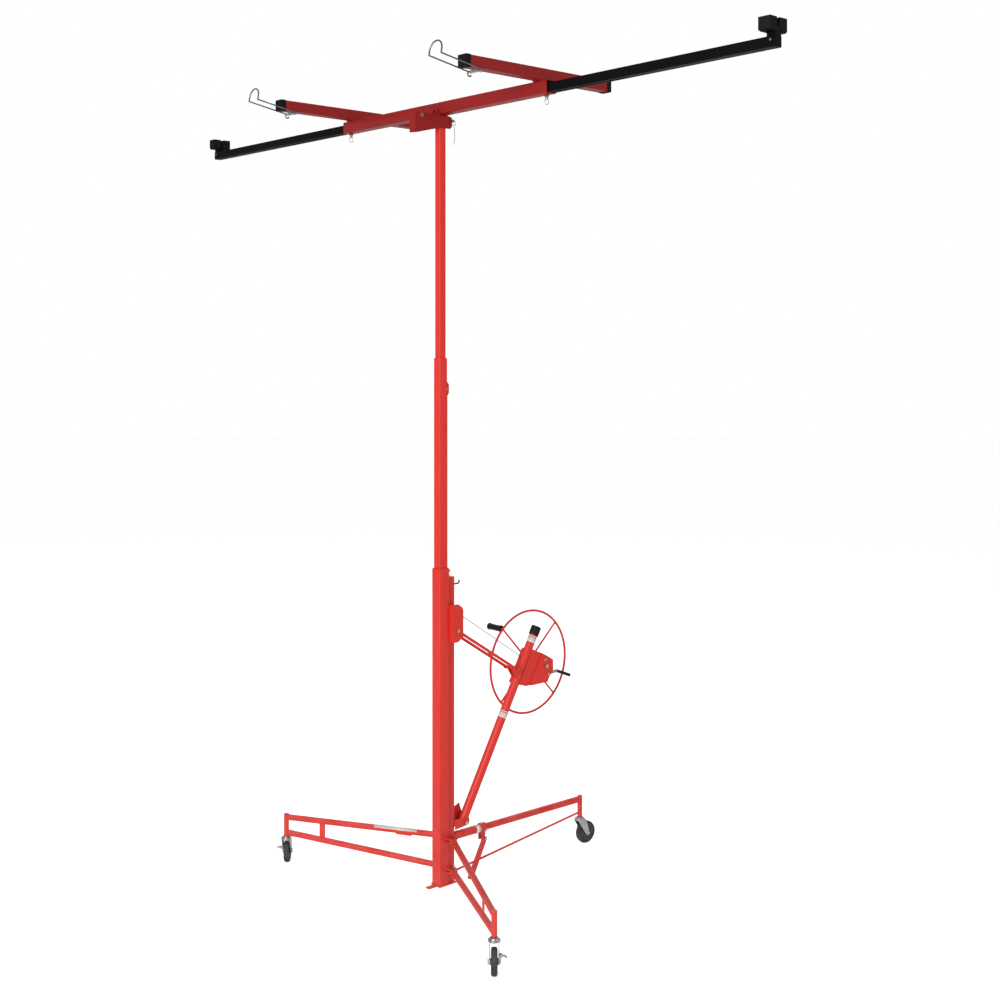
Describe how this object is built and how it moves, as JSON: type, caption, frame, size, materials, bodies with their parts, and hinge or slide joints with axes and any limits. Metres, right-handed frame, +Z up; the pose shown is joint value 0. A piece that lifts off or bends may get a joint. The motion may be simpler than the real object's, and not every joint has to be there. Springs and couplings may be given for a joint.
{
  "type": "drywall lift",
  "caption": "Plasterboard lifting hoist with folding rolling base, telescopic mast, geared hand winch and tilting cradle with pull-out arms and wire hooks.",
  "frame": {"origin": "on the mast axis, at the underside of the mast's foot plate, 32 mm above the floor", "axes": "+X along the cradle beam, -Y towards the wire hooks and the two front legs, +Y towards the winch and the rear leg, +Z up"},
  "size_m": [3.544, 1.4316, 3.3815],
  "materials": {
    "red_paint": "satin powder coat, lightly scuffed",
    "dark_red_paint": "satin powder coat, darker red",
    "black_paint": "satin black powder coat",
    "zinc": "bright zinc plate",
    "wire_rope": "galvanised wire rope",
    "wire_rod": "bright zinc-plated rod",
    "nylon": "natural nylon",
    "rubber": "matt black rubber",
    "black_plastic": "moulded, fine grain",
    "wheel_rubber": "dark grey, dusty",
    "cord": "braided grey cord"
  },
  "bodies": {
    "base": {"outer_mast": "red_paint", "mast_foot": "red_paint", "rear_post": "red_paint", "upper_bracket": "red_paint", "foot_bracket": "red_paint", "rear_socket": "red_paint", "rear_leg": "red_paint", "frame_bolts": "zinc", "mast_glides": "nylon", "lift_cable": "wire_rope", "mid_lift_cable": "wire_rope", "stage_cable": "wire_rope"},
    "mast_mid": {"mid_mast": "red_paint", "sheave_bracket": "red_paint", "inner_lift_cable": "wire_rope"},
    "mast_inner": {"inner_mast": "red_paint", "mast_head": "dark_red_paint"},
    "cradle": {"cradle_beam": "dark_red_paint", "tilt_bracket": "dark_red_paint", "cradle_bolts": "zinc"},
    "left_pull_arm": {"left_arm": "black_paint", "left_arm_pads": "rubber"},
    "right_pull_arm": {"right_arm": "black_paint", "right_arm_pads": "rubber"},
    "left_cross": {"left_crossarm": "dark_red_paint", "left_crossarm_caps": "rubber"},
    "right_cross": {"right_crossarm": "dark_red_paint", "right_crossarm_caps": "rubber"},
    "left_wire_hook": {"left_hook": "wire_rod"},
    "right_wire_hook": {"right_hook": "wire_rod"},
    "latch": {"latch_pin": "zinc", "latch_lanyard": "cord"},
    "left_front_leg": {"left_leg": "red_paint"},
    "right_front_leg": {"right_leg": "red_paint"},
    "left_caster": {"left_fork": "zinc"},
    "right_caster": {"right_fork": "zinc"},
    "rear_caster": {"rear_fork": "zinc"},
    "left_roller": {"left_wheel": "wheel_rubber"},
    "right_roller": {"right_wheel": "wheel_rubber"},
    "rear_roller": {"rear_wheel": "wheel_rubber"},
    "left_brake_tab": {"left_brake": "zinc"},
    "right_brake_tab": {"right_brake": "zinc"},
    "rear_brake_tab": {"rear_brake": "zinc"},
    "strut": {"kick_strut": "red_paint"},
    "winch": {"winch_tube": "red_paint", "tube_cap": "black_plastic", "winch_housing": "red_paint", "winch_bolts": "zinc"},
    "braces": {"brace_bars": "red_paint"},
    "cable_drum": {"drum": "zinc"},
    "wheel_set": {"hand_wheel": "red_paint", "wheel_shaft": "zinc"},
    "grip": {"crank_grip": "black_plastic"},
    "lever": {"brake_lever": "zinc"},
    "ratchet_pawl": {"pawl": "zinc"},
    "lift_sheave": {"main_sheave": "nylon"},
    "stage_sheave": {"mid_sheave": "nylon"},
    "left_lock_pin": {"left_ring_pin": "zinc"},
    "right_lock_pin": {"right_ring_pin": "zinc"},
    "leg_lock_pin": {"leg_ring_pin": "zinc"}
  },
  "joints": [
    {"name": "mid_slide", "type": "slide", "parent": "base", "child": "mast_mid", "axis": [0, 0, 1], "range_m": [-0.7, 0], "deforming": ["mid_lift_cable", "stage_cable"]},
    {"name": "inner_slide", "type": "slide", "parent": "mast_mid", "child": "mast_inner", "axis": [0, 0, 1], "range_m": [-0.7, 0], "deforming": ["inner_lift_cable"]},
    {"name": "drum_spin", "type": "hinge", "parent": "winch", "child": "cable_drum", "pos_m": [0, 0.53888, 0.80444], "axis": [1, 0, 0], "range_deg": [0, 1673]},
    {"name": "wheel_spin", "type": "hinge", "parent": "winch", "child": "wheel_set", "pos_m": [0, 0.58173, 0.82616], "axis": [1, 0, 0], "range_deg": [-5015, 0]},
    {"name": "main_sheave_spin", "type": "hinge", "parent": "base", "child": "lift_sheave", "pos_m": [0, 0.054, 1.108], "axis": [1, 0, 0], "range_deg": [0, 1239]},
    {"name": "mid_sheave_spin", "type": "hinge", "parent": "mast_mid", "child": "stage_sheave", "pos_m": [0, 0.0253, 2.07], "axis": [1, 0, 0], "range_deg": [0, 4223]},
    {"name": "grip_spin", "type": "hinge", "parent": "wheel_set", "child": "grip", "pos_m": [-0.135, 0.42555, 0.99364], "axis": [1, 0, 0], "continuous": true},
    {"name": "winch_fold", "type": "hinge", "parent": "base", "child": "winch", "pos_m": [0, 0.118, 0.236], "axis": [1, 0, 0], "range_deg": [0, 27.5], "deforming": ["lift_cable"]},
    {"name": "brace_fold", "type": "hinge", "parent": "winch", "child": "braces", "pos_m": [0, 0.40194, 0.83941], "axis": [1, 0, 0], "range_deg": [-82.6, 0]},
    {"name": "lever_press", "type": "hinge", "parent": "winch", "child": "lever", "pos_m": [0.02, 0.59504, 0.78876], "axis": [1, 0, 0], "range_deg": [0, 12], "stiffness_Nm_per_rad": 3, "springref_deg": -2.86},
    {"name": "pawl_tilt", "type": "hinge", "parent": "winch", "child": "ratchet_pawl", "pos_m": [0.013, 0.57341, 0.85614], "axis": [1, 0, 0], "range_deg": [-10, 10]},
    {"name": "cradle_tilt", "type": "hinge", "parent": "mast_inner", "child": "cradle", "pos_m": [0, -0.118, 3.2], "axis": [1, 0, 0], "range_deg": [0, 65]},
    {"name": "right_arm_slide", "type": "slide", "parent": "cradle", "child": "right_pull_arm", "axis": [1, 0, 0], "range_m": [-0.41, 0.1]},
    {"name": "left_arm_slide", "type": "slide", "parent": "cradle", "child": "left_pull_arm", "axis": [-1, 0, 0], "range_m": [-0.51, 0]},
    {"name": "right_crossarm_fold", "type": "hinge", "parent": "cradle", "child": "right_cross", "pos_m": [0.613, 0, 3.267], "axis": [0, 0, 1], "range_deg": [-75, 0]},
    {"name": "left_crossarm_fold", "type": "hinge", "parent": "cradle", "child": "left_cross", "pos_m": [-0.613, 0, 3.267], "axis": [0, 0, 1], "range_deg": [0, 75]},
    {"name": "right_hook_swing", "type": "hinge", "parent": "right_cross", "child": "right_wire_hook", "pos_m": [0.613, -0.33, 3.2625], "axis": [1, 0, 0], "range_deg": [-55, 15]},
    {"name": "left_hook_swing", "type": "hinge", "parent": "left_cross", "child": "left_wire_hook", "pos_m": [-0.613, -0.33, 3.2625], "axis": [1, 0, 0], "range_deg": [-55, 15]},
    {"name": "latch_slide", "type": "slide", "parent": "mast_inner", "child": "latch", "axis": [1, 0, 0], "range_m": [-0.012, 0]},
    {"name": "right_leg_fold", "type": "hinge", "parent": "base", "child": "right_front_leg", "pos_m": [0.045, 0.03, 0.123], "axis": [0, 0, 1], "range_deg": [0, 100]},
    {"name": "left_leg_fold", "type": "hinge", "parent": "base", "child": "left_front_leg", "pos_m": [-0.045, 0.03, 0.123], "axis": [0, 0, 1], "range_deg": [-100, 0]},
    {"name": "left_swivel", "type": "hinge", "parent": "left_front_leg", "child": "left_caster", "pos_m": [-0.68939, -0.31272, 0.118], "axis": [0, 0, 1], "continuous": true},
    {"name": "left_roll", "type": "hinge", "parent": "left_caster", "child": "left_roller", "pos_m": [-0.71317, -0.29131, 0.018], "axis": [-0.6691, -0.7431, 0], "continuous": true},
    {"name": "left_brake", "type": "hinge", "parent": "left_caster", "child": "left_brake_tab", "pos_m": [-0.72422, -0.31554, 0.0355], "axis": [-0.7431, 0.6691, 0], "range_deg": [-18, 0]},
    {"name": "right_swivel", "type": "hinge", "parent": "right_front_leg", "child": "right_caster", "pos_m": [0.68939, -0.31272, 0.118], "axis": [0, 0, 1], "continuous": true},
    {"name": "right_roll", "type": "hinge", "parent": "right_caster", "child": "right_roller", "pos_m": [0.71317, -0.33413, 0.018], "axis": [0.6691, 0.7431, 0], "continuous": true},
    {"name": "right_brake", "type": "hinge", "parent": "right_caster", "child": "right_brake_tab", "pos_m": [0.72422, -0.3099, 0.0355], "axis": [0.7431, -0.6691, 0], "range_deg": [-18, 0]},
    {"name": "rear_swivel", "type": "hinge", "parent": "base", "child": "rear_caster", "pos_m": [0, 0.824, 0.118], "axis": [0, 0, 1], "continuous": true},
    {"name": "rear_roll", "type": "hinge", "parent": "rear_caster", "child": "rear_roller", "pos_m": [0.0039, 0.85576, 0.018], "axis": [-0.9925, 0.1219, 0], "continuous": true},
    {"name": "rear_brake", "type": "hinge", "parent": "rear_caster", "child": "rear_brake_tab", "pos_m": [-0.02229, 0.85092, 0.0355], "axis": [0.1219, 0.9925, 0], "range_deg": [-18, 0]},
    {"name": "strut_fold", "type": "hinge", "parent": "base", "child": "strut", "pos_m": [0.015, 0.22932, 0.14133], "axis": [1, 0, 0], "range_deg": [0, 100]},
    {"name": "left_pin_pull", "type": "slide", "parent": "cradle", "child": "left_lock_pin", "axis": [0, 0, -1], "range_m": [0, 0.012], "stiffness_N_per_m": 400, "springref_m": -0.004},
    {"name": "right_pin_pull", "type": "slide", "parent": "cradle", "child": "right_lock_pin", "axis": [0, 0, -1], "range_m": [0, 0.012], "stiffness_N_per_m": 400, "springref_m": -0.004},
    {"name": "leg_pin_pull", "type": "slide", "parent": "base", "child": "leg_lock_pin", "axis": [1, 0, 0], "range_m": [0, 0.05]}
  ],
  "couplings": [
    {"joint": "inner_slide", "follows": "mid_slide", "ratio": 1},
    {"joint": "drum_spin", "follows": "mid_slide", "rad_per_m": -41.667},
    {"joint": "wheel_spin", "follows": "mid_slide", "rad_per_m": 125},
    {"joint": "main_sheave_spin", "follows": "mid_slide", "rad_per_m": -30.864},
    {"joint": "mid_sheave_spin", "follows": "mid_slide", "rad_per_m": -105.26},
    {"joint": "brace_fold", "follows": "winch_fold", "ratio": -3}
  ]
}
